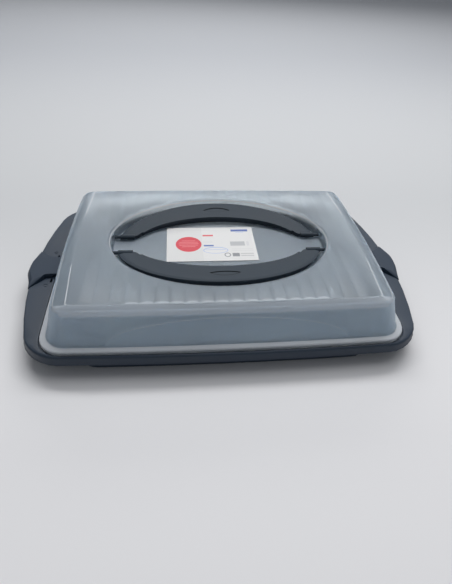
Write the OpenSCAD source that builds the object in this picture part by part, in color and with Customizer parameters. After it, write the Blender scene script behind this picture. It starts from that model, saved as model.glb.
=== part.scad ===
/* [Lid] */
// Half length of the ribbed panel on the lid, at its corners
panel_x = 160.2; // [150:0.1:165]
// Half depth of the ribbed panel, at its corners
panel_y = 111.7; // [105:0.1:115]
// How far the panel's short edges bow out
panel_bow_x = 5.1; // [1:0.1:6]
// How far the panel's long edges bow out
panel_bow_y = 2.4; // [1:0.1:4]
// Spacing of the ribs
rib_pitch = 14.9; // [12:0.1:15.5]
// Number of ribs
rib_count = 20; // [10:2:20]
// Rise of each rib above the panel
rib_rise = 0.9; // [0.5:0.1:1]
// Length of the chamfer at the ribs' ends
rib_end = 2.2; // [1:0.1:4]
// Height of the lid from its lip to the top of the ribs
lid_h = 45.6; // [40:0.1:60]
// Wall thickness of the lid
lid_t = 1.3; // [1:0.1:1.6]
// Half length of the lid's lip, at its corners
lip_x = 191.7; // [188:0.1:193]
// Half depth of the lid's lip, at its corners
lip_y = 136.2; // [134:0.1:137]
// Height of the lip below its ledge
lip_h = 5.0; // [4:0.1:6]
// Corner radius of the lip
lip_r = 23; // [16:0.5:28]
// Height of the arched field on each long wall
arch_h = 27; // [15:0.5:28]
// Half width of the arched field
arch_w = 126; // [90:1:130]
// How far the arched field stands out
arch_rise = 0.5; // [0.3:0.1:0.8]

/* [Handle recess] */
// Half length of the oval recess
oval_a = 128.6; // [124:0.1:130]
// Half depth of the oval recess
oval_b = 87.5; // [84:0.1:89]
// Depth of the recess below the top of the ribs
recess_h = 13.5; // [12:0.1:16]
// Radius of the recess's rounded rim
rim_r = 5; // [3:0.5:6]

/* [Handles] */
// Gap between a handle and the recess wall
handle_gap = 6.5; // [5:0.1:8]
// Half length of the opening inside a handle
grip_a = 102; // [98:0.1:106]
// Distance from the middle to a handle's inner edge
grip_b = 50.8; // [46:0.1:54]
// Distance of each handle's hinge from the middle
hinge_y = 16; // [14.5:0.1:20]
// Height of the hinge above the recess floor
hinge_up = 3.3; // [3.2:0.1:3.6]
// Rise of a handle's top from its hinge to its outer edge
handle_rise = 7.9; // [4:0.1:8.2]
// Thickness of the handle's top plate
plate_t = 2.8; // [2:0.1:3.2]
// Width of the bevel along a handle's outer edge, at its ends
bevel_w = 6; // [3:0.1:7]
// Depth of that bevel
bevel_drop = 1.6; // [1:0.1:2]
// Size of the corner taken off the inside of a handle's ends
end_round = 6; // [3:0.1:7]
// Radius of the handle's hinge pins
handle_pin_r = 2; // [1.6:0.1:2.2]

/* [Tray] */
// Height of the tray's rim
rim_z = 28.5; // [26:0.1:40]
// Half length of the rim, at its corners
rim_x = 201.5; // [199:0.1:204]
// Half depth of the rim, at its corners
rim_y = 141.2; // [140.8:0.1:143]
// How far the wings at the short sides bulge
wing_bow = 23.5; // [20:0.1:26]
// How far the long sides of the rim bow out
rim_bow = 5; // [4.5:0.1:6]
// Corner radius of the rim
rim_corner_r = 30; // [26:0.5:34]
// Height of the skirt round the rim
skirt_h = 10.5; // [9:0.1:11.5]
// Half length of the foot
foot_x = 157; // [150:0.1:158]
// Half depth of the foot
foot_y = 132.5; // [128:0.1:133]
// Thickness of the tray's walls
tray_t = 2.2; // [1.8:0.1:2.4]

/* [Clips] */
// Distance of a clip's hinge beyond the lid's lip
clip_hinge_out = 9.7; // [9.2:0.1:11]
// Depth of the clip's hinge below the rim
clip_hinge_down = 6; // [5.6:0.1:6.4]
// Height of the clip above the rim
clip_up = 5.2; // [4.8:0.1:6]
// How far a clip reaches past the wing
tab_reach = 4.5; // [3:0.1:8]
// Width of a clip at the edge of the wing
clip_w = 71.2; // [66:0.2:80]
// Width of a clip's hinge barrel
barrel_w = 33; // [28:0.2:36]
// Radius of the bosses that the clip's pins turn in
boss_r = 4.6; // [4.2:0.1:5.4]
// How far the clip's nose covers the lip
nose_cover = 2.1; // [1.5:0.1:3]
// Gap round a clip
clip_gap = 1; // [0.8:0.1:1.2]
// Radius of the clip's hinge pins
clip_pin_r = 2.2; // [1.8:0.1:2.4]

/* [Card] */
// Length of the card in the recess
card_x = 107.6; // [80:0.1:110]
// Depth of the card
card_y = 70; // [50:0.1:72]
// Thickness of the card
card_t = 0.4; // [0.3:0.1:0.8]

/* [Hidden] */
pin_clear = 0.08;
seat_gap = 0.3;
channel_z = rim_z - 2.3;
lip_z = channel_z + seat_gap;
top_z = lip_z + lid_h;
panel_z = top_z - rib_rise;
ledge_z = lip_z + lip_h;
floor_z = top_z - recess_h;
foot_rim = 1.2;
well_z = foot_rim + 2;
lip_bow_x = 2.6;
lip_bow_y = 3.9;
clip_z = rim_z - clip_hinge_down;
hinge_z = floor_z + hinge_up;
barrel_r = hinge_up - seat_gap;
slope = handle_rise / (oval_b - handle_gap - hinge_y);
tilt = atan(slope);
handle_in_x = grip_a * sqrt(1 - pow(hinge_y / grip_b, 2));
wing_tip = rim_x + wing_bow;
lip_tip = lip_x + lip_bow_x;
clip_hinge_x = lip_tip + clip_hinge_out;
clip_back_x = clip_hinge_x - 4.7;
clip_tip = wing_tip + tab_reach;
boss_y = barrel_w / 2 + clip_gap + boss_r + 0.4;
channel_gap = 1.3;
card_at = [-10.4, 4.2];
corner_steps = 6;
side_steps = 8;
oval_steps = 72;
flute_steps = 8;

function corner(cx, cy, r, a0) =
    [for (i = [0:corner_steps]) let (a = a0 + 90 * i / corner_steps) [cx + r * cos(a), cy + r * sin(a)]];

function along(p, q) = [for (i = [1:side_steps - 1]) p + (q - p) * i / side_steps];

// Rounded rectangle, anticlockwise, with points along its sides
function round_rect(hx, hy, r) = let (cx = hx - r, cy = hy - r) concat(
    corner(cx, cy, r, 0), along([cx, hy], [-cx, hy]),
    corner(-cx, cy, r, 90), along([-hx, cy], [-hx, -cy]),
    corner(-cx, -cy, r, 180), along([-cx, -hy], [cx, -hy]),
    corner(cx, -cy, r, 270), along([hx, -cy], [hx, cy]));

// The same outline with its sides bowed outward
function bowed(hx, hy, bx, by, r) = [for (p = round_rect(hx, hy, r))
    [p.x * (1 + bx / hx * (1 - p.y * p.y / (hy * hy))), p.y * (1 + by / hy * (1 - p.x * p.x / (hx * hx)))]];

function ellipse(a, b, n = oval_steps) = [for (i = [0:n - 1]) [a * cos(360 * i / n), b * sin(360 * i / n)]];

// One section of a shell: half sizes, bows, corner radius and height
function at(hx, hy, bx, by, r, z) = [bowed(hx, hy, bx, by, r), z];

// Closed solid through a list of outlines with the same number of points
module skin(sections) {
    n = len(sections[0][0]);
    m = len(sections);
    points = [for (s = sections) for (p = s[0]) [p.x, p.y, s[1]]];
    walls = [for (k = [0:m - 2]) for (i = [0:n - 1])
        let (j = (i + 1) % n, a = k * n + i, b = (k + 1) * n + i, c = (k + 1) * n + j, d = k * n + j)
        each [[a, b, c], [a, c, d]]];
    first = [for (i = [0:n - 1]) i];
    last = [for (i = [n - 1:-1:0]) (m - 1) * n + i];
    polyhedron(points, concat([first], walls, [last]), convexity = 8);
}

// Drafted wall of the lid, grown by g, from just under its shoulder to its ledge
function wall_top(g) = at(176.8 + g, 119.6 + g, 3.9, 2.8, 15 + g, top_z - 9.5);
function wall_foot(g) = at(lip_x - 7.4 + g, lip_y - 5.4 + g, 3, 3.4, 20 + g, ledge_z + 1.5);

module lid_shell() {
    t = lid_t;
    skin([
        at(panel_x - 1, panel_y - 1, panel_bow_x, panel_bow_y, 3, panel_z - t),
        at(171.6, 115.4, 4.2, 2.6, 8, panel_z - 3 - t * 0.7),
        at(174.6, 117.4, 4, 2.7, 12, top_z - 6.8),
        wall_top(-t),
        wall_foot(-t),
        at(lip_x - 7.0, lip_y - 5.1, 3, 3.4, 19.5, ledge_z - t),
        at(lip_x - t - 0.3, lip_y - t - 0.3, lip_bow_x, lip_bow_y, lip_r - t, ledge_z - t),
        at(lip_x - t, lip_y - t, lip_bow_x, lip_bow_y, lip_r - t, lip_z),
        at(lip_x, lip_y, lip_bow_x, lip_bow_y, lip_r, lip_z),
        at(lip_x - 0.1, lip_y - 0.1, lip_bow_x, lip_bow_y, lip_r, ledge_z - 1.3),
        at(lip_x - 0.5, lip_y - 0.5, lip_bow_x, lip_bow_y, lip_r, ledge_z - 0.4),
        at(lip_x - 1.5, lip_y - 1.4, lip_bow_x, lip_bow_y, lip_r - 1, ledge_z),
        at(lip_x - 6.2, lip_y - 4.4, 3, 3.4, 20.6, ledge_z + 0.5),
        wall_foot(0),
        wall_top(0),
        at(175.8, 118.6, 4, 2.7, 13, top_z - 6.2),
        at(172.6, 116.3, 4.2, 2.6, 9, top_z - 3.6),
        at(168, 113.6, 4.6, 2.5, 6, panel_z - 1.2),
        at(panel_x, panel_y, panel_bow_x, panel_bow_y, 2.5, panel_z)]);
}

// Profile of the flutes seen from the front, side by side, each a shallow arc
function flute_profile() = concat(
    [[rib_pitch * rib_count / 2, -0.5], [-rib_pitch * rib_count / 2, -0.5]],
    [for (i = [0:rib_count - 1]) for (k = [0:flute_steps - 1])
        let (u = k / flute_steps) [(i + u - rib_count / 2) * rib_pitch, rib_rise * 4 * u * (1 - u)]],
    [[rib_pitch * rib_count / 2, 0]]);

// Shallow flutes of the top panel, with a chamfered frame that cuts their ends into scallops
module flutes() {
    run = rib_end / rib_rise;
    intersection() {
        translate([0, panel_y + 10, panel_z])
            rotate([90, 0, 0])
                linear_extrude(2 * panel_y + 20)
                    polygon(flute_profile());
        skin([
            at(panel_x - 0.3 + run * 0.4, panel_y - 0.3 + run * 0.4, panel_bow_x, panel_bow_y, 3.4, panel_z - 0.4),
            at(panel_x - 0.3 - run * (rib_rise + 0.3), panel_y - 0.3 - run * (rib_rise + 0.3),
                panel_bow_x, panel_bow_y, 2.5, top_z + 0.3)]);
    }
}

// Arched field that stands out of both long walls
module arches() {
    intersection() {
        difference() {
            skin([wall_foot(arch_rise), wall_top(arch_rise)]);
            translate([0, 0, -1])
                skin([wall_foot(-lid_t / 2), wall_top(-lid_t / 2)]);
            translate([0, 0, 1])
                skin([wall_foot(-lid_t / 2), wall_top(-lid_t / 2)]);
        }
        translate([0, 160, ledge_z + 0.6])
            rotate([90, 0, 0])
                linear_extrude(320)
                    intersection() {
                        scale([1, arch_h / arch_w])
                            circle(arch_w, $fn = 64);
                        translate([-arch_w, 0])
                            square([2 * arch_w, arch_h]);
                    }
    }
}

function oval_at(g, z) = [ellipse(oval_a + g, oval_b + g), z];

module recess_outer() {
    skin([
        oval_at(-2.2, floor_z - lid_t),
        oval_at(lid_t - 1.2, floor_z + 1),
        oval_at(lid_t, panel_z - 4),
        oval_at(rim_r + 1, panel_z - 0.4)]);
}

module recess_inner() {
    skin([
        oval_at(-3, floor_z),
        oval_at(-1.4, floor_z + 1),
        oval_at(0, top_z - rim_r),
        oval_at(rim_r * 0.08, top_z - rim_r * 0.6),
        oval_at(rim_r * 0.3, top_z - rim_r * 0.29),
        oval_at(rim_r * 0.6, top_z - rim_r * 0.08),
        oval_at(rim_r * 1.3, top_z + 0.05),
        oval_at(rim_r * 1.3, top_z + 3)]);
}

module hinge_sockets() {
    for (sx = [-1, 1])
        for (sy = [-1, 1])
            translate([sx * (oval_a - 1.6), sy * hinge_y, hinge_z])
                rotate([0, 90 * sx, 0])
                    children();
}

module lid() {
    color("lightsteelblue")
        difference() {
            union() {
                lid_shell();
                flutes();
                arches();
                recess_outer();
                hinge_sockets()
                    cylinder(h = 6.2, r = handle_pin_r + 1.9, $fn = 48);
            }
            recess_inner();
            hinge_sockets()
                translate([0, 0, -6])
                    cylinder(h = 10.5, r = handle_pin_r + pin_clear, $fn = 64);
        }
}

// Everything below the tilted top plane of a handle, lowered by d
module below_top(d) {
    translate([0, hinge_y, hinge_z + barrel_r - 1.7 - d])
        rotate([tilt, 0, 0])
            translate([-150, -40, -40])
                cube([300, 160, 40]);
}

module handle_plan(g) {
    intersection() {
        difference() {
            polygon(ellipse(oval_a - handle_gap - g, oval_b - handle_gap - g));
            polygon(ellipse(grip_a + g, grip_b + g));
        }
        translate([-150, hinge_y])
            square([300, 100]);
    }
}

// Corner taken off the inside of a handle's end
module end_corner() {
    for (sx = [-1, 1])
        scale([sx, 1])
            polygon([
                [handle_in_x - 12, hinge_y - 1], [handle_in_x + end_round, hinge_y - 1],
                [handle_in_x + end_round, hinge_y], [handle_in_x + end_round * 0.5, hinge_y + end_round * 0.12],
                [handle_in_x + end_round * 0.1, hinge_y + end_round * 0.45],
                [handle_in_x - end_round * 0.42, hinge_y + end_round * 1.1],
                [handle_in_x - 12, hinge_y + end_round * 1.1]]);
}

// Bevel along the outer edge of a handle, widest at its ends
module bevel_body() {
    a = oval_a - handle_gap;
    b = (oval_b - handle_gap) / cos(tilt);
    translate([0, hinge_y, hinge_z + barrel_r - 1.7])
        rotate([tilt, 0, 0])
            translate([0, -hinge_y, 0])
                skin([
                    [ellipse(a + 0.2, b + 0.2), -20],
                    [ellipse(a + 0.2, b + 0.2), -bevel_drop],
                    [ellipse(a - bevel_w * 0.5, b - bevel_w * 0.28), -bevel_drop * 0.4],
                    [ellipse(a - bevel_w, b - bevel_w * 0.6), 0.01]]);
}

module handle() {
    end_x = (oval_a - handle_gap) * sqrt(1 - pow(hinge_y / (oval_b - handle_gap), 2));
    barrel_x = handle_in_x + end_round;
    difference() {
        union() {
            intersection() {
                translate([0, 0, floor_z + seat_gap])
                    linear_extrude(recess_h)
                        difference() {
                            handle_plan(0);
                            end_corner();
                        }
                difference() {
                    below_top(0);
                    below_top(plate_t);
                }
                bevel_body();
            }
            intersection() {
                translate([0, 0, floor_z + seat_gap])
                    linear_extrude(recess_h)
                        difference() {
                            handle_plan(1.8);
                            end_corner();
                        }
                below_top(plate_t / 2);
                bevel_body();
            }
            for (sx = [-1, 1])
                translate([sx * barrel_x, hinge_y, hinge_z])
                    rotate([0, 90 * sx, 0]) {
                        cylinder(h = end_x - barrel_x - 0.5, r = barrel_r, $fn = 64);
                        cylinder(h = oval_a + 1.2 - barrel_x, r = handle_pin_r, $fn = 64);
                    }
        }
        // Hollow underside
        intersection() {
            translate([0, 0, floor_z - 1])
                linear_extrude(recess_h)
                    difference() {
                        handle_plan(3.8);
                        translate([-150, 0])
                            square([300, hinge_y + 6]);
                    }
            below_top(plate_t);
        }
        thumb_scoop();
    }
}

// Shallow lens that a thumb finds on the handle
module thumb_scoop() {
    mid_y = (oval_b - handle_gap + grip_b) / 2;
    translate([0, hinge_y, hinge_z + barrel_r - 1.7])
        rotate([tilt, 0, 0])
            translate([0, mid_y - hinge_y, -0.7])
                linear_extrude(5)
                    intersection() {
                        translate([0, -26])
                            circle(30, $fn = 96);
                        translate([0, 48])
                            circle(52, $fn = 120);
                    }
}

module handle_back() {
    color("slategray")
        handle();
}

module handle_front() {
    color("slategray")
        mirror([0, 1, 0])
            handle();
}

// Half outline of a clip beside a boss, grown by g and run on by out past the edge of the wing
function clip_side(g, out) = concat(
    [[clip_back_x - g * 0.6, boss_y - boss_r - clip_gap + g]],
    [for (a = [270:15:345])
        [clip_hinge_x, boss_y] + (boss_r + clip_gap - g) * [cos(a), sin(a)]],
    [[wing_tip - 2.2 + out * 0.68 - g * 0.6, clip_w / 2 + out * 0.74 + g * 0.6]]);

function flipped(pts) = [for (i = [len(pts) - 1:-1:0]) [pts[i].x, -pts[i].y]];

// Swell of the finger tab, from 1 at its middle to 0 at the wing
function swell(y) = (1 + cos(180 * min(1, max(0, abs(y) - 5) / 27))) / 2;

// Outline of a clip seen from above, grown by g and by out on the side of its finger tab
function clip_plan(g, out = 0) = concat(
    clip_side(g, out),
    [for (y = [32:-4:-32]) [wing_tip - 2 + (tab_reach + 2) * swell(y) + g + out, y * (1 + (g + out) / 35)]],
    flipped(clip_side(g, out)));

function plateau_side() = [
    [clip_back_x, barrel_w / 2 - 2], [clip_hinge_x + 3, barrel_w / 2 - 1.4],
    [clip_hinge_x + 10, barrel_w / 2 + 3], [wing_tip - 5.4, clip_w / 2 - 10]];

// Outline of the clip's raised top
function clip_plateau() = concat(
    plateau_side(),
    [for (y = [20:-4:-20]) [wing_tip - 5 + (tab_reach + 1.4) * swell(y * 1.2), y]],
    flipped(plateau_side()));

module clip_block(d) {
    hull() {
        translate([0, 0, rim_z - 6])
            linear_extrude(5.6 - d)
                polygon(clip_plan(-d));
        translate([0, 0, rim_z + clip_up - d - 0.8])
            linear_extrude(0.8)
                offset(delta = -d)
                    polygon(clip_plateau());
    }
}

module clip() {
    nose_x = lip_tip - nose_cover;
    nose_z = ledge_z + seat_gap;
    difference() {
        union() {
            intersection() {
                clip_block(0);
                translate([0, 0, rim_z - 7])
                    linear_extrude(20)
                        polygon(clip_plan(0));
            }
            // Nose with a lead-in under its tip
            translate([0, barrel_w / 2, 0])
                rotate([90, 0, 0])
                    linear_extrude(barrel_w)
                        polygon([
                            [clip_back_x, clip_z], [clip_back_x, nose_z - 1.2], [lip_tip + 0.6, nose_z - 1.2],
                            [lip_tip - 0.6, nose_z], [nose_x, nose_z + 1.1], [nose_x + 0.2, nose_z + 1.5],
                            [nose_x + 1.6, rim_z + clip_up - 0.2], [nose_x + 3.4, rim_z + clip_up],
                            [clip_hinge_x + 4, rim_z + clip_up], [clip_hinge_x + 4, clip_z]]);
            translate([clip_hinge_x, barrel_w / 2, clip_z])
                rotate([90, 0, 0])
                    cylinder(h = barrel_w, r = 3.6, $fn = 64);
            translate([clip_hinge_x, boss_y + 8, clip_z])
                rotate([90, 0, 0])
                    cylinder(h = 2 * boss_y + 16, r = clip_pin_r, $fn = 64);
        }
        // Hollow under the finger tab
        intersection() {
            clip_block(2.2);
            translate([clip_hinge_x + 5.8, -clip_w, 0])
                cube([wing_tip, 2 * clip_w, rim_z + 30]);
        }
        translate([clip_hinge_x + 5.8, -17, rim_z - 8])
            cube([clip_tip - clip_hinge_x - 12, 34, 3]);
    }
}

module clip_right() {
    color("darkslategray")
        clip();
}

module clip_left() {
    color("darkslategray")
        mirror([1, 0, 0])
            clip();
}

module tray_shell() {
    t = tray_t;
    cb = lip_bow_x;
    skin([
        at(foot_x - 1.5, foot_y - 1.5, 1.5, 2.5, 20, 0),
        at(foot_x, foot_y, 1.5, 2.6, 21, 1.5),
        at(foot_x + 4, foot_y + 2.1, 2, 3, 23, channel_z - 4),
        at(foot_x + 6, foot_y + 3.1, 2.2, 3.2, 24, channel_z - 2.4),
        at(rim_x - t, rim_y - t, wing_bow - 0.3, rim_bow - 0.1, rim_corner_r - t, channel_z - 2.4),
        at(rim_x - 1.6, rim_y - 1.6, wing_bow - 0.1, rim_bow, rim_corner_r - 1.6, rim_z - skirt_h),
        at(rim_x + 0.2, rim_y + 0.2, wing_bow, rim_bow, rim_corner_r, rim_z - skirt_h),
        at(rim_x + 0.5, rim_y + 0.5, wing_bow, rim_bow, rim_corner_r, rim_z - skirt_h + 0.8),
        at(rim_x, rim_y, wing_bow, rim_bow, rim_corner_r, rim_z - skirt_h + 1.8),
        at(rim_x - 0.6, rim_y - 0.6, wing_bow, rim_bow, rim_corner_r - 0.4, rim_z - 2.6),
        at(rim_x - 1.2, rim_y - 1.1, wing_bow, rim_bow, rim_corner_r - 0.8, rim_z - 1),
        at(rim_x - 2.4, rim_y - 2, wing_bow, rim_bow, rim_corner_r - 1.6, rim_z - 0.2),
        at(lip_x + channel_gap + 1.4, lip_y + channel_gap + 1.1, cb + 0.4, 4.4, lip_r + 2, rim_z),
        at(lip_x + channel_gap + 0.3, lip_y + channel_gap + 0.3, cb, lip_bow_y, lip_r + 1.4, rim_z - 0.7),
        at(lip_x + channel_gap, lip_y + channel_gap, cb, lip_bow_y, lip_r + 1.2, channel_z),
        at(foot_x + 4.8, foot_y + 0.8, 2, 3, 22, channel_z),
        at(foot_x + 3, foot_y + 0.1, 2, 3, 21.5, channel_z - 0.8),
        at(foot_x - 1.6, foot_y - 2.2, 1.8, 2.8, 19, well_z + 2),
        at(foot_x - 3.6, foot_y - 4.2, 1.6, 2.6, 17, well_z)]);
}

// Space under a wing, between the skirt and the channel, with ribs left standing
module wing_coring() {
    translate([0, 0, rim_z - skirt_h - 1])
        linear_extrude(skirt_h + 1 - tray_t)
            difference() {
                intersection() {
                    polygon(bowed(rim_x - 2.6, rim_y - 2.6, wing_bow, rim_bow, rim_corner_r - 2.6));
                    union() {
                        for (sx = [-1, 1])
                            translate([sx * (lip_x + 60), 0])
                                square([110, 2 * rim_y - 42], center = true);
                    }
                }
                polygon(bowed(lip_x + 3.8, lip_y + 3.8, lip_bow_x, lip_bow_y, lip_r + 4));
                square([2 * lip_x + 200, clip_w + 12.8], center = true);
                for (y = [-92, -67, 67, 92])
                    translate([0, y])
                        square([2 * lip_x + 200, 1.8], center = true);
            }
}

// Pocket in a wing, with the bores for a clip's pins and a ring over each
module clip_pocket() {
    translate([0, 0, 5])
        linear_extrude(40)
            polygon(clip_plan(clip_gap, 5));
    // Dark slot beside each boss, towards the lid
    for (sy = [-1, 1])
        translate([clip_back_x - 1.2, sy * (boss_y + 0.4) - 3.4, rim_z - 6])
            cube([2.4, 6.8, 12]);
    translate([clip_hinge_x, boss_y + 8.5, clip_z])
        rotate([90, 0, 0])
            cylinder(h = 2 * boss_y + 17, r = clip_pin_r + pin_clear, $fn = 64);
    for (sy = [-1, 1])
        translate([clip_hinge_x, sy * (boss_y + 9), rim_z - 0.5])
            difference() {
                cylinder(h = 2, r = 2.5, $fn = 48);
                translate([0, 0, -1])
                    cylinder(h = 4, r = 1.4, $fn = 48);
            }
}

module tray() {
    color("slategray")
        difference() {
            union() {
                tray_shell();
                // Blocks that carry the bosses
                for (sx = [-1, 1])
                    for (sy = [-1, 1])
                        translate([sx * (clip_hinge_x + 2) - 7, sy * (boss_y + 6) - 12, rim_z - skirt_h + 0.4])
                            cube([14, 24, skirt_h - 1.4]);
            }
            wing_coring();
            translate([0, 0, -1])
                linear_extrude(1 + foot_rim)
                    polygon(bowed(foot_x - 12, foot_y - 12, 1.5, 2.5, 12));
            for (a = [0, 180])
                rotate([0, 0, a])
                    clip_pocket();
        }
}

module label_card() {
    color("white")
        translate([card_at.x - card_x / 2, card_at.y - card_y / 2, floor_z])
            cube([card_x, card_y, card_t]);
}

tray();
lid();
handle_back();
handle_front();
clip_left();
clip_right();
label_card();
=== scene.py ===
import math

import bmesh
import bpy
from mathutils import Matrix, Vector


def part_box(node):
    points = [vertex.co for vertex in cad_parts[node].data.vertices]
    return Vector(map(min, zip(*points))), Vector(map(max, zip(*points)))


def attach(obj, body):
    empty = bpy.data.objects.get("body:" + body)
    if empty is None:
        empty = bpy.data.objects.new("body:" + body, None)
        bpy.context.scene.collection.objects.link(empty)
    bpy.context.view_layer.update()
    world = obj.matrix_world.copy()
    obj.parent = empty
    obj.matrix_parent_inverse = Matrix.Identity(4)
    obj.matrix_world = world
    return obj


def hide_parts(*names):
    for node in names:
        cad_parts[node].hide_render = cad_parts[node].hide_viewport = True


MM = 0.001

# Lid, in metres: half axes of the oval recess, half sizes of the ribbed panel, how far the panel's sides bow
OVAL = (0.1286, 0.0875)
PANEL = (0.1602, 0.1117)
PANEL_BOW = (0.0051, 0.0024)

# Places on the lid in plan, in metres from its middle
LONG_WALL = 0.110
SHOULDER_START = 0.1105
ARCH_END = 0.130
LONG_FOLD_END = 0.156
# The same in shares of the oval, squared: 1 is on its edge
RIM_RING = (0.98, 1.10)
PAST_RECESS = 1.25

# Heights on the lid, in mm: bands and depths below its top, and the top of the lip above its underside
RIM_BAND = (1.2, 3.2)
WALL_BAND = (3, 41)
STEP_BAND = (7, 41)
ARCH_BAND = (11, 41)
PANEL_DEPTH = 1.0
SHOULDER_DEPTH = 8.0
LIP_HEIGHT = 5.6

# Limits on the unit normals that tell the lid's faces apart
DOWNWARD = -0.01
STEP_TURN_X, STEP_TURN_Y = 0.97, 0.5
STEP_EDGE, FIELD_EDGE = 0.4, 0.85
WALL_TURN = 0.6
RIM_UP = 0.2
SHOULDER_UP = (0.25, 0.985)
SHOULDER_TURN = 0.2
FLUTE_UP, FLUTE_TURN = 0.955, 0.05

# Painted highlight strips along the folds of the lid: mm below its top, metres beyond which they run in x and
# in y, width in mm
FOLDS = [
    (0.9, 0.150, 0.0, 0.45),
    (3.6, 0.160, 0.0, 0.45),
    (0.9, 0.0, 0.110, 0.27),
]
# How far in mm an edge may lie off a fold's height and off the panel's outline, and the least it turns
FOLD_LEVEL, FOLD_STRAY = 0.03, 0.15
FOLD_ANGLE = math.radians(4)
# Widths in mm of the painted highlight strips along the arches and of the painted highlight edge inside the
# panel's outline
ARCH_WIDTH = 0.40
EDGE_STRIP = 0.5
# How far the flutes' normals turn back to the panel's own, 1 being all the way
FLUTE_CALM = 0.50

# Finishes of the lid, by their place in its list of materials, where the skin is the first; the painted
# highlight strips and the paler shoulder band are painted light
INSIDE, PAINTED_HIGHLIGHT, WALL_INSIDE, PAINTED_LIGHT_SHOULDER = 1, 2, 3, 4

# Painted shade along the thumb mark of a handle, in metres: middles of its two arcs with their radii, half
# the width of the painted dark outline; and how dark the painted shade is beside the plastic
THUMB_ARCS = [(0.0399, 0.030), (0.1139, 0.052)]
THUMB_LINE = 0.0005
THUMB_PAINTED_SHADE = 0.25

# Width of the rounding on the edges of each kind of piece, in mm
EDGE_ROUND = {"tray": 0.5, "handles": 0.7, "clips": 0.7}
SHARP_ANGLE = math.radians(38)
# Points closer than this in mm are welded, and faces that turn less than this count as one
WELD = 0.02
FLAT_ANGLE = math.radians(0.4)
TINY = 1e-6

# Colours of the plastics: the lid scatters a bluish light and lets a warmer one through
SLATE = (0.021, 0.035, 0.058)
SLATE_HANDLE = (0.037, 0.050, 0.066)
FROST = (0.68, 0.84, 1.0)
FROST_WARM = (1.0, 0.95, 0.88)
# Paler, less clear frost of the painted highlight strips along the lid's folds, rim, arches and lip
FROST_PAINTED_HIGHLIGHT = (0.86, 0.90, 0.95)
FROST_MILK = (0.96, 0.95, 0.93)
# Painted light: a paler, less clear copy of the lid's frost for the sloped shoulder bands
FROST_SHOULDER_PAINTED_LIGHT = (0.78, 0.87, 0.97)

# Card and its inks
PAPER = (0.71, 0.71, 0.71)
RED = (0.62, 0.035, 0.06)
DEEP_RED = (0.66, 0.10, 0.12)
PALE_RED = (0.78, 0.24, 0.26)
BLUE = (0.10, 0.16, 0.42)
PALE_BLUE = (0.42, 0.50, 0.72)
BLACK_INK = (0.24, 0.25, 0.27)
GREY_INK = (0.30, 0.31, 0.33)
CODE_GREY = (0.44, 0.45, 0.47)
LINE_GREY = (0.50, 0.50, 0.51)
PALE_GREY = (0.62, 0.62, 0.63)
SIDE_GREY = (0.62, 0.62, 0.64)

# Fields of print: shape, place of its middle from the card's middle, sizes in mm (half sizes of an oval), ink
PRINT = [
    ("oval", -27.5, -1.0, 15.5, 15.5, RED),
    ("bar", -27.5, 6.0, 16.0, 0.9, PALE_RED),
    ("bar", -27.5, 3.0, 22.0, 0.9, PALE_RED),
    ("bar", -27.5, 0.0, 24.0, 0.9, PALE_RED),
    ("bar", -27.5, -3.0, 22.0, 0.9, PALE_RED),
    ("bar", -27.5, -6.0, 16.0, 0.9, PALE_RED),
    ("bar", -3.3, 17.0, 13.0, 3.2, DEEP_RED),
    ("bar", -3.4, -4.5, 12.0, 3.0, BLUE),
    ("oval", 4.5, -14.0, 15.0, 6.6, PALE_BLUE),
    ("oval", 4.5, -14.3, 13.8, 5.4, PAPER),
    ("bar", 4.5, -13.0, 24.0, 0.9, PALE_BLUE),
    ("bar", -4.0, 4.5, 11.0, 0.8, PALE_GREY),
    ("bar", -4.0, 1.5, 12.0, 0.8, PALE_GREY),
    ("bar", 37.0, 27.7, 21.5, 4.6, BLUE),
    ("bar", 37.0, 23.5, 10.0, 1.0, PALE_BLUE),
    ("bar", 32.0, -1.0, 17.8, 8.8, CODE_GREY),
    ("bar", 44.5, -1.0, 3.0, 8.8, SIDE_GREY),
    ("bar", 36.5, -12.0, 26.0, 0.9, PALE_GREY),
    ("bar", 36.5, -15.0, 26.0, 0.9, PALE_GREY),
    ("bar", 28.0, -23.5, 8.5, 6.8, BLACK_INK),
    ("oval", 18.0, -23.5, 4.0, 4.2, GREY_INK),
    ("oval", 18.0, -23.5, 2.6, 2.7, PAPER),
    ("bar", 41.5, -21.5, 15.5, 2.0, LINE_GREY),
    ("bar", 41.5, -25.5, 15.5, 2.0, LINE_GREY),
]
# Width in mm of the greyer strip at the card's left end, and how dark the strip and the paper's fibres are
TINTED_STRIP = 43.0
STRIP_SHADE, FIBRE_SHADE = 0.93, 0.97

# Light and room: places and sizes of the lamps in metres, their power in watts
SKY =(0.90, 0.945, 1.0)
SKY_LEVEL = 0.25
LAMPS = {
    "lamp": {"at": (0.10, 1.05, 1.80), "size": (2.2, 0.22), "power": 25.0, "tone": (1, 1, 1)},
    "window": {"at": (0.2, 2.1, 1.15), "size": (2.6, 0.5), "power": 12.0, "tone": (1.0, 0.98, 0.95)},
    "ceiling": {"at": (0.6, 0.5, 2.20), "size": (2.2, 1.6), "power": 18.0, "tone": (1, 1, 1)},
}

# Floor and backdrop, in metres: front end, backdrop, half width, height of the backdrop, radius of the bend
FLOOR_FRONT, FLOOR_BACK, FLOOR_HALF, BACKDROP_HIGH, FLOOR_BEND = -40.0, 3.4, 40.0, 3.4, 0.9
BEND_STEPS = 12
# Painted light falloff on the floor, pale in front and darker towards the back: its colour at a few places
# from front to back: metres from the middle, colour
FLOOR_PAINTED_FALLOFF = [
    (-0.25, (0.80, 0.795, 0.81)),
    (0.25, (0.56, 0.57, 0.585)),
    (1.30, (0.43, 0.445, 0.475)),
    (2.60, (0.43, 0.445, 0.475)),
]

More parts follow.
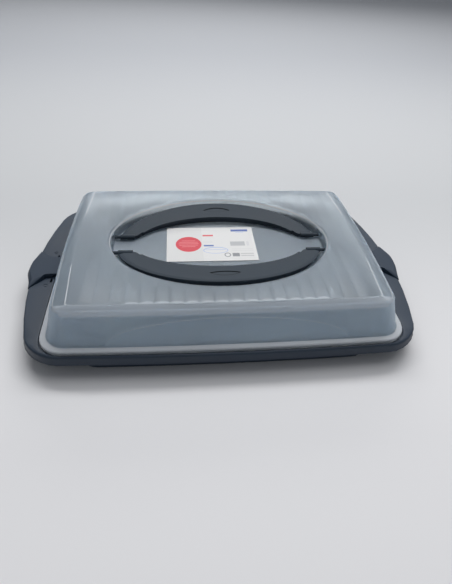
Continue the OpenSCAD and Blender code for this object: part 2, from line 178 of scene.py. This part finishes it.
# Camera, worked out from the edges of the lid: place in mm, angles in degrees, lens, frame and axis in pixels
EYE = (-47.6, -428.4, 363.8)
YAW, PITCH, ROLL = 7.82, 40.9, 3.7
FOCAL_PX, FRAME_W, FRAME_H = 433.3, 452, 584
AXIS_PX = (226.5, 288.5)
SENSOR = 36.0

# Inputs and output of a Mix node for colours
MIX_SHARE, MIX_FIRST, MIX_SECOND, MIX_RESULT = 0, 6, 7, 2

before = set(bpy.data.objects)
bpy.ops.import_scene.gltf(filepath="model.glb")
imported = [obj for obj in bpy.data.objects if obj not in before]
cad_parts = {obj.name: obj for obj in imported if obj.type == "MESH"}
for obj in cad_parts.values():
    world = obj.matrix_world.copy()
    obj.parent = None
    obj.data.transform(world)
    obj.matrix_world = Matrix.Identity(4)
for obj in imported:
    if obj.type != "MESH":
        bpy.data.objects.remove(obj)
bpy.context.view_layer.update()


# Node helpers


def node(tree, kind, **values):
    n = tree.nodes.new(kind)
    for key, value in values.items():
        setattr(n, key, value)
    return n


def link(tree, a, b):
    tree.links.new(a, b)


def maths(tree, operation, *values):
    """A Math node on sockets and numbers; gives its output."""
    n = node(tree, "ShaderNodeMath", operation=operation)
    for socket, value in zip(n.inputs, values):
        if isinstance(value, (int, float)):
            socket.default_value = value
        else:
            link(tree, value, socket)
    return n.outputs[0]


def blend(tree, share, first, second):
    """The first colour, a socket, gone over with the second, a plain one, where the share is 1."""
    n = node(tree, "ShaderNodeMix", data_type="RGBA")
    link(tree, share, n.inputs[MIX_SHARE])
    link(tree, first, n.inputs[MIX_FIRST])
    n.inputs[MIX_SECOND].default_value = (*second, 1)
    return n.outputs[MIX_RESULT]


def place_on(tree):
    """The place on the piece, in its own frame."""
    return node(tree, "ShaderNodeTexCoord").outputs["Object"]


def apart(tree, place):
    """X, Y and Z of a place."""
    parts = node(tree, "ShaderNodeSeparateXYZ")
    link(tree, place, parts.inputs[0])
    return parts.outputs


def noise(tree, place, size, detail):
    """Noise at a size that is a number or a socket."""
    n = node(tree, "ShaderNodeTexNoise")
    n.inputs["Detail"].default_value = detail
    link(tree, place, n.inputs["Vector"])
    if isinstance(size, (int, float)):
        n.inputs["Scale"].default_value = size
    else:
        link(tree, size, n.inputs["Scale"])
    return n.outputs["Fac"]


def grain_bump(tree, shader, height, strength, depth_mm):
    bump = node(tree, "ShaderNodeBump")
    bump.inputs["Strength"].default_value = strength
    bump.inputs["Distance"].default_value = depth_mm * MM
    link(tree, height, bump.inputs["Height"])
    link(tree, bump.outputs["Normal"], shader.inputs["Normal"])


def material(name):
    m = bpy.data.materials.new(name)
    m.use_nodes = True
    return m, m.node_tree, shader_of(m)


def shader_of(m):
    return next(n for n in m.node_tree.nodes if n.type == "BSDF_PRINCIPLED")


# Plastics


def moulded_skin():
    """Fine spark-eroded grain, slow flow marks and a little shade, for every plastic piece."""
    g = bpy.data.node_groups.new("moulded_skin", "ShaderNodeTree")
    face = g.interface
    tone = face.new_socket("Tone", in_out="INPUT", socket_type="NodeSocketColor")
    tone.default_value = (0.5, 0.5, 0.5, 1)
    starts = {"Grain Size": 2600.0, "Flow Size": 14.0, "Shade": 0.08, "Roughness": 0.45, "Mottle": 0.06}
    for label, value in starts.items():
        face.new_socket(label, in_out="INPUT", socket_type="NodeSocketFloat").default_value = value
    face.new_socket("Color", in_out="OUTPUT", socket_type="NodeSocketColor")
    face.new_socket("Rough", in_out="OUTPUT", socket_type="NodeSocketFloat")
    face.new_socket("Height", in_out="OUTPUT", socket_type="NodeSocketFloat")
    into = node(g, "NodeGroupInput").outputs
    out = node(g, "NodeGroupOutput").inputs

    place = place_on(g)
    grain = noise(g, place, into["Grain Size"], detail=2.0)
    flow = noise(g, place, into["Flow Size"], detail=3.0)
    # The noise lies mostly between 0.3 and 0.7
    spread = node(g, "ShaderNodeMapRange")
    spread.inputs["From Min"].default_value = 0.3
    spread.inputs["From Max"].default_value = 0.7
    spread.inputs["To Min"].default_value = -1.0
    link(g, flow, spread.inputs["Value"])
    spread = spread.outputs["Result"]

    lift = maths(g, "ADD", maths(g, "MULTIPLY", spread, into["Shade"]), 1.0)
    tint = node(g, "ShaderNodeVectorMath", operation="SCALE")
    link(g, into["Tone"], tint.inputs[0])
    link(g, lift, tint.inputs["Scale"])
    link(g, tint.outputs["Vector"], out["Color"])
    mottle = maths(g, "MULTIPLY", spread, into["Mottle"])
    link(g, maths(g, "ADD", mottle, into["Roughness"]), out["Rough"])
    link(g, grain, out["Height"])
    return g


SKIN = moulded_skin()


def plastic(name, tone, roughness, ior, depth_mm, settings):
    """A moulded plastic with its own settings of the skin."""
    m, tree, shader = material(name)
    skin = node(tree, "ShaderNodeGroup", node_tree=SKIN)
    skin.inputs["Tone"].default_value = (*tone, 1)
    skin.inputs["Roughness"].default_value = roughness
    for label, value in settings.items():
        skin.inputs[label].default_value = value
    grain_bump(tree, shader, skin.outputs["Height"], strength=0.35, depth_mm=depth_mm)
    link(tree, skin.outputs["Color"], shader.inputs["Base Color"])
    link(tree, skin.outputs["Rough"], shader.inputs["Roughness"])
    shader.inputs["IOR"].default_value = ior
    return m


def slate_plastic(name, tone, roughness, ior):
    settings = {"Grain Size": 2600.0, "Flow Size": 14.0, "Shade": 0.08, "Mottle": 0.05}
    return plastic(name, tone, roughness, ior, depth_mm=0.06, settings=settings)


def thumb_painted_shade(tree):
    """Mask of the painted shade along the lens-shaped outline at the middle of each handle, made of two arcs
    that meet.
    """
    parts = apart(tree, place_on(tree))
    spot = node(tree, "ShaderNodeCombineXYZ")
    link(tree, parts["X"], spot.inputs["X"])
    link(tree, maths(tree, "ABSOLUTE", parts["Y"]), spot.inputs["Y"])
    circles = []
    for middle, radius in THUMB_ARCS:
        away = node(tree, "ShaderNodeVectorMath", operation="DISTANCE")
        link(tree, spot.outputs[0], away.inputs[0])
        away.inputs[1].default_value = (0.0, middle, 0.0)
        circles.append((away.outputs["Value"], radius))
    arcs = []
    for (own, radius), (other, limit) in (circles, circles[::-1]):
        on_line = maths(tree, "COMPARE", own, radius, THUMB_LINE)
        within = maths(tree, "LESS_THAN", other, limit + THUMB_LINE)
        arcs.append(maths(tree, "MULTIPLY", on_line, within))
    return maths(tree, "MAXIMUM", *arcs)


def handle_plastic(name, tone, roughness, ior):
    """Slate plastic with a fine line of painted shade along the outline of the thumb mark."""
    m = slate_plastic(name, tone, roughness, ior)
    tree = m.node_tree
    base = shader_of(m).inputs["Base Color"]
    # Painted shade: the thumb mark's outline is darkened where the edge of its recess falls in shadow
    painted_shade = tuple(c * THUMB_PAINTED_SHADE for c in tone)
    link(tree, blend(tree, thumb_painted_shade(tree), base.links[0].from_socket, painted_shade), base)
    return m


def frosted_plastic(name, tone, clear, roughness):
    settings = {"Grain Size": 1800.0, "Flow Size": 14.0, "Shade": 0.03, "Mottle": 0.03}
    m = plastic(name, tone, roughness, ior=1.45, depth_mm=0.012, settings=settings)
    shader_of(m).inputs["Transmission Weight"].default_value = clear
    return m


def milky_plastic(name, tone, clear, roughness):
    """The same plastic where a wall glows with the light that falls on its far side."""
    m = frosted_plastic(name, tone, clear, roughness)
    shader = shader_of(m)
    shader.inputs["Subsurface Weight"].default_value = 1.0
    shader.inputs["Subsurface Radius"].default_value = (1.0, 0.95, 0.9)
    shader.inputs["Subsurface Scale"].default_value = 0.012
    return m


# Card


def field_mask(tree, parts, shape, x, y, wide, deep):
    """Mask of one field of print, in metres: a bar by its sizes or an oval by its half sizes."""
    from_middle = [maths(tree, "SUBTRACT", parts[axis], at) for axis, at in (("X", x), ("Y", y))]
    if shape == "bar":
        sides = zip(from_middle, (wide / 2, deep / 2))
        masks = [maths(tree, "LESS_THAN", maths(tree, "ABSOLUTE", d), half) for d, half in sides]
        return maths(tree, "MULTIPLY", *masks)
    shares = [maths(tree, "DIVIDE", d, half) for d, half in zip(from_middle, (wide, deep))]
    return maths(tree, "LESS_THAN", maths(tree, "ADD", *(maths(tree, "POWER", s, 2.0) for s in shares)), 1.0)


def card_paper():
    """White card with generic fields of print: a disc, a lens outline, a few bars and a block."""
    m, tree, shader = material("printed_card")
    low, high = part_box("label_card")
    centre, size = (low + high) / 2, high - low
    place = place_on(tree)
    parts = apart(tree, place)
    fibre = noise(tree, place, 900.0, detail=4.0)
    base = node(tree, "ShaderNodeMix", data_type="RGBA")
    base.inputs[MIX_FIRST].default_value = (*(c * FIBRE_SHADE for c in PAPER), 1)
    base.inputs[MIX_SECOND].default_value = (*PAPER, 1)
    link(tree, fibre, base.inputs[MIX_SHARE])
    colour = base.outputs[MIX_RESULT]

    strip = TINTED_STRIP * MM
    edge = centre.x - size.x / 2
    mask = field_mask(tree, parts, "bar", edge + strip / 2, centre.y, strip, size.y)
    colour = blend(tree, mask, colour, tuple(c * STRIP_SHADE for c in PAPER))
    for shape, x, y, wide, deep, ink in PRINT:
        mask = field_mask(tree, parts, shape, centre.x + x * MM, centre.y + y * MM, wide * MM, deep * MM)
        colour = blend(tree, mask, colour, ink)
    link(tree, colour, shader.inputs["Base Color"])
    shader.inputs["Roughness"].default_value = 0.5
    grain_bump(tree, shader, fibre, strength=0.2, depth_mm=0.02)
    return m


# Meshes


def moulding(cad, name, body, finishes, round_mm):
    """A node's own form with welded seams, softened edges and smooth faces."""
    mesh = bpy.data.meshes.new(name)
    bm = bmesh.new()
    bm.from_mesh(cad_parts[cad].data)
    bmesh.ops.remove_doubles(bm, verts=bm.verts, dist=WELD * MM)
    bmesh.ops.dissolve_limit(bm, angle_limit=FLAT_ANGLE, verts=bm.verts, edges=bm.edges)
    bmesh.ops.recalc_face_normals(bm, faces=bm.faces)
    bm.to_mesh(mesh)
    bm.free()
    piece = bpy.data.objects.new(name, mesh)
    bpy.context.scene.collection.objects.link(piece)
    if round_mm > 0:
        soften(piece, round_mm)
    piece.data.shade_smooth()
    piece.data.set_sharp_from_angle(angle=SHARP_ANGLE)
    if round_mm > 0:
        keep_flats(piece)
    piece.data.materials.clear()
    for m in finishes:
        piece.data.materials.append(m)
    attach(piece, body)
    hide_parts(cad)
    return piece


def slate_moulding(body, finish, slot):
    """A slate piece, made from the node that bears its body's name."""
    piece =moulding(body, f"{body}_moulding", body, [finish], EDGE_ROUND[slot])
    split_faces(piece)


def soften(piece, round_mm):
    bevel = piece.modifiers.new("edges", "BEVEL")
    bevel.width = round_mm * MM
    bevel.segments = 2
    bevel.limit_method = "ANGLE"
    bevel.angle_limit = SHARP_ANGLE
    bevel.use_clamp_overlap = True
    bevel.miter_outer = "MITER_ARC"
    apply_modifiers(piece)


def keep_flats(piece):
    """Let the large faces rule the shading, so that they stay flat beside their rounded edges."""
    weigh = piece.modifiers.new("flats", "WEIGHTED_NORMAL")
    weigh.mode = "FACE_AREA"
    weigh.weight = 80
    weigh.keep_sharp = True
    apply_modifiers(piece)


def split_faces(piece):
    """Cut the many-sided faces into triangles and leave the shading as it is."""
    cut = piece.modifiers.new("cut", "TRIANGULATE")
    cut.keep_custom_normals = True
    apply_modifiers(piece)


def apply_modifiers(piece):
    graph = bpy.context.evaluated_depsgraph_get()
    done = bpy.data.meshes.new_from_object(piece.evaluated_get(graph))
    piece.modifiers.clear()
    old = piece.data
    piece.data = done
    bpy.data.meshes.remove(old)


# Lid


def panel_edge(x, y):
    """How far a point lies outside the ribbed panel's outline, less than nothing inside it."""
    long_side = PANEL[1] + PANEL_BOW[1] * (1 - (x / PANEL[0]) ** 2)
    short_side = PANEL[0] + PANEL_BOW[0] * (1 - (y / PANEL[1]) ** 2)
    return max(abs(y) - long_side, abs(x) - short_side)


def in_band(z, top, band):
    """Whether a height lies in a band below the lid's top."""
    return band[0] * MM < top - z < band[1] * MM


def fold_edges(bm, top, drop, beyond_x, beyond_y):
    """Edges at one height where the panel folds into the shoulder, at its short sides or its long ones."""
    found = []
    for e in bm.edges:
        ends = [v.co for v in e.verts]
        level = all(abs(p.z - top + drop * MM) < FOLD_LEVEL * MM for p in ends)
        beyond = all(abs(p.x) > beyond_x and abs(p.y) > beyond_y for p in ends)
        if beyond_y > 0:
            near = all(abs(panel_edge(p.x, p.y)) < FOLD_STRAY * MM for p in ends)
            beyond = beyond and near and all(abs(p.x) < LONG_FOLD_END for p in ends)
        if level and beyond and len(e.link_faces) == 2 and e.calc_face_angle(0) > FOLD_ANGLE:
            found.append(e)
    return found


def arch_edges(bm, top):
    """Outer edges of the step around the arched field of each long wall."""
    found = []
    for e in bm.edges:
        on_wall = all(abs(v.co.y) > LONG_WALL and in_band(v.co.z, top, ARCH_BAND) for v in e.verts)
        if not on_wall or len(e.link_faces) != 2 or not e.is_convex:
            continue
        step, field = sorted(abs(f.normal.y) for f in e.link_faces)
        outward = all(f.normal.y * f.calc_center_median().y > -TINY for f in e.link_faces)
        if step < STEP_EDGE and field > FIELD_EDGE and outward:
            found.append(e)
    return found


def painted_highlight_strips(mesh):
    """Narrow strips of painted highlight along the folds of the panel and along the arches."""
    bm = bmesh.new()
    bm.from_mesh(mesh)
    top = max(v.co.z for v in bm.verts)

    def strip(edges, width):
        bmesh.ops.bevel(bm, geom=edges, offset=width * MM, offset_type="OFFSET", segments=1, profile=0.5,
                        affect="EDGES", material=PAINTED_HIGHLIGHT, clamp_overlap=True)

    for drop, beyond_x, beyond_y, width in FOLDS:
        strip(fold_edges(bm, top, drop, beyond_x, beyond_y), width)
    strip(arch_edges(bm, top), ARCH_WIDTH)
    bm.to_mesh(mesh)
    bm.free()


def lid_finish(face, points, top, lip_top):
    """Which finish a face of the lid has; the skin and the painted highlight strips along the folds keep
    theirs.
    """
    n, middle = face.normal, face.center
    heights = [p.z for p in points]
    ring = [(p.x / OVAL[0]) ** 2 + (p.y / OVAL[1]) ** 2 for p in points]
    nearest = min(abs(p.y) for p in points)

    step = abs(n.x) < STEP_TURN_X and abs(n.y) < STEP_TURN_Y and in_band(middle.z, top, STEP_BAND)
    arch = step and nearest > LONG_WALL and max(abs(p.x) for p in points) < ARCH_END
    if n.z < DOWNWARD and not arch:
        upright = max(abs(n.x), abs(n.y)) > WALL_TURN and in_band(middle.z, top, WALL_BAND)
        return WALL_INSIDE if upright and min(ring) > PAST_RECESS else INSIDE

    outer = min(panel_edge(p.x, p.y) for p in points) > -EDGE_STRIP * MM
    sliver = outer and min(heights) > top - PANEL_DEPTH * MM
    rim = n.z > RIM_UP and RIM_RING[0] < min(ring) and max(ring) < RIM_RING[1]
    rim = rim and all(in_band(z, top, RIM_BAND) for z in heights)
    # Painted highlight: the pale edge inside the panel's outline, the rim of the oval, the arches and the lip
    if sliver or rim or arch or middle.z < lip_top:
        return PAINTED_HIGHLIGHT

    # Painted light: the sloped shoulder bands along the long sides get a paler, less clear copy of the lid's
    # plastic
    chamfer = SHOULDER_UP[0] < n.z < SHOULDER_UP[1] and abs(n.y) > SHOULDER_TURN
    if chamfer and nearest > SHOULDER_START and middle.z > top - SHOULDER_DEPTH * MM:
        return PAINTED_LIGHT_SHOULDER
    return face.material_index


def lid_faces(mesh):
    """Give each face of the lid its finish."""
    top = max(v.co.z for v in mesh.vertices)
    lip_top = min(v.co.z for v in mesh.vertices) + LIP_HEIGHT * MM
    for face in mesh.polygons:
        points = [mesh.vertices[i].co for i in face.vertices]
        face.material_index = lid_finish(face, points, top, lip_top)


def calm_flutes(mesh, share):
    """Turn the normals of the flutes part of the way back to the panel's own."""
    top = max(v.co.z for v in mesh.vertices)
    up = Vector((0, 0, 1))
    normals = [n.vector.copy() for n in mesh.corner_normals]
    for face in mesh.polygons:
        flute = face.normal.z > FLUTE_UP and abs(face.normal.y) < FLUTE_TURN
        if flute and face.center.z > top - PANEL_DEPTH * MM:
            for i in face.loop_indices:
                normals[i] = normals[i].lerp(up, share).normalized()
    mesh.normals_split_custom_set(normals)


def lid_moulding(finishes):
    """The lid, one moulding whose faces get their finishes by where they lie, with painted highlight strips
    and a shoulder band of painted light.
    """
    lid =moulding("lid", "lid_moulding", "lid", finishes, 0.0)
    painted_highlight_strips(lid.data)
    lid_faces(lid.data)
    calm_flutes(lid.data, FLUTE_CALM)
    split_faces(lid)


# Floor, backdrop, light and camera


def floor_finish():
    m, tree, shader = material("pale_floor")
    parts = apart(tree, place_on(tree))
    first, last = FLOOR_PAINTED_FALLOFF[0][0], FLOOR_PAINTED_FALLOFF[-1][0]
    away = node(tree, "ShaderNodeMapRange")
    away.inputs["From Min"].default_value = first
    away.inputs["From Max"].default_value = last
    link(tree, parts["Y"], away.inputs["Value"])
    # Painted light falloff: the floor's colour darkens towards the back
    tone = node(tree, "ShaderNodeValToRGB")
    tone.color_ramp.interpolation = "EASE"
    while len(tone.color_ramp.elements) < len(FLOOR_PAINTED_FALLOFF):
        tone.color_ramp.elements.new(0.5)
    for stop, (at, colour) in zip(tone.color_ramp.elements, FLOOR_PAINTED_FALLOFF):
        stop.position = (at - first) / (last - first)
        stop.color = (*colour, 1)
    link(tree, away.outputs["Result"], tone.inputs["Fac"])
    link(tree, tone.outputs["Color"], shader.inputs["Base Color"])
    shader.inputs["Roughness"].default_value = 0.85
    return m


def floor():
    """A floor that bends up into a backdrop."""
    start = FLOOR_BACK - FLOOR_BEND
    rows = [(FLOOR_FRONT, 0.0), (start, 0.0)]
    for i in range(1, BEND_STEPS + 1):
        a = math.pi / 2 * i / BEND_STEPS
        rows.append((start + FLOOR_BEND * math.sin(a), FLOOR_BEND - FLOOR_BEND * math.cos(a)))
    rows.append((FLOOR_BACK, BACKDROP_HIGH))
    verts = [(x, y, z) for y, z in rows for x in (-FLOOR_HALF, FLOOR_HALF)]
    faces = [(2 * i, 2 * i + 1, 2 * i + 3, 2 * i + 2) for i in range(len(rows) - 1)]
    mesh = bpy.data.meshes.new("floor")
    mesh.from_pydata(verts, [], faces)
    mesh.shade_smooth()
    mesh.materials.append(floor_finish())
    piece = bpy.data.objects.new("floor", mesh)
    bpy.context.scene.collection.objects.link(piece)


def soft_box(name, at, size, power, tone):
    """A rectangular lamp that faces the middle of the floor."""
    lamp = bpy.data.lights.new(name, "AREA")
    lamp.shape = "RECTANGLE"
    lamp.size, lamp.size_y = size
    lamp.energy = power
    lamp.color = tone
    piece = bpy.data.objects.new(name, lamp)
    piece.location = at
    piece.rotation_euler = (-Vector(at)).to_track_quat("-Z", "Y").to_euler()
    bpy.context.scene.collection.objects.link(piece)


def sky():
    world = bpy.data.worlds.new("room")
    bpy.context.scene.world = world
    world.use_nodes = True
    back = next(n for n in world.node_tree.nodes if n.type == "BACKGROUND")
    back.inputs["Color"].default_value = (*SKY, 1)
    back.inputs["Strength"].default_value = SKY_LEVEL


def camera():
    yaw, pitch, roll = (math.radians(a) for a in (YAW, PITCH, ROLL))
    ahead = Vector((math.sin(yaw) * math.cos(pitch), math.cos(yaw) * math.cos(pitch), -math.sin(pitch)))
    right = Vector((math.cos(yaw), -math.sin(yaw), 0))
    up = right.cross(ahead)
    across = math.cos(roll) * right + math.sin(roll) * up
    upward = -math.sin(roll) * right + math.cos(roll) * up
    data = bpy.data.cameras.new("camera")
    data.sensor_width = SENSOR
    data.lens = FOCAL_PX / FRAME_H * SENSOR
    data.shift_x = (FRAME_W / 2 - AXIS_PX[0]) / FRAME_H
    data.shift_y = (AXIS_PX[1] - FRAME_H / 2) / FRAME_H
    data.clip_start = 0.01
    piece = bpy.data.objects.new("camera", data)
    turn = Matrix((across, upward, -ahead)).transposed().to_4x4()
    piece.matrix_world = Matrix.Translation(Vector(EYE) * MM) @ turn
    bpy.context.scene.collection.objects.link(piece)
    bpy.context.scene.camera = piece


# Build

slate_tray = slate_plastic("slate_tray", SLATE, roughness=0.46, ior=1.42)
slate_handle = handle_plastic("slate_handle", SLATE_HANDLE, roughness=0.60, ior=1.29)
slate_clip = slate_plastic("slate_clip", SLATE, roughness=0.52, ior=1.35)
frosted = [
    frosted_plastic("frosted_lid", FROST, clear=0.88, roughness=0.34),
    frosted_plastic("frosted_lid_inside", FROST_WARM, clear=0.97, roughness=0.30),
    # Painted highlight along the folds, rim, arches and lip
    frosted_plastic("frosted_lid_painted_highlight", FROST_PAINTED_HIGHLIGHT, clear=0.38, roughness=0.38),
    milky_plastic("frosted_lid_walls_inside", FROST_MILK, clear=0.20, roughness=0.45),
    # Painted light: paler copy of the lid's plastic on the shoulder bands
    frosted_plastic("frosted_lid_shoulder_painted_light", FROST_SHOULDER_PAINTED_LIGHT, clear=0.60, roughness=0.38),
]
paper = card_paper()

slate_moulding("tray", slate_tray, "tray")
lid_moulding(frosted)
for side in ("back", "front"):
    slate_moulding(f"handle_{side}", slate_handle, "handles")
for side in ("left", "right"):
    slate_moulding(f"clip_{side}", slate_clip, "clips")
moulding("label_card", "paper_card", "lid", [paper], 0.0)

floor()
sky()
for name, lamp in LAMPS.items():
    soft_box(name, lamp["at"], lamp["size"], lamp["power"], lamp["tone"])
camera()
bpy.context.scene.view_settings.view_transform = "Standard"
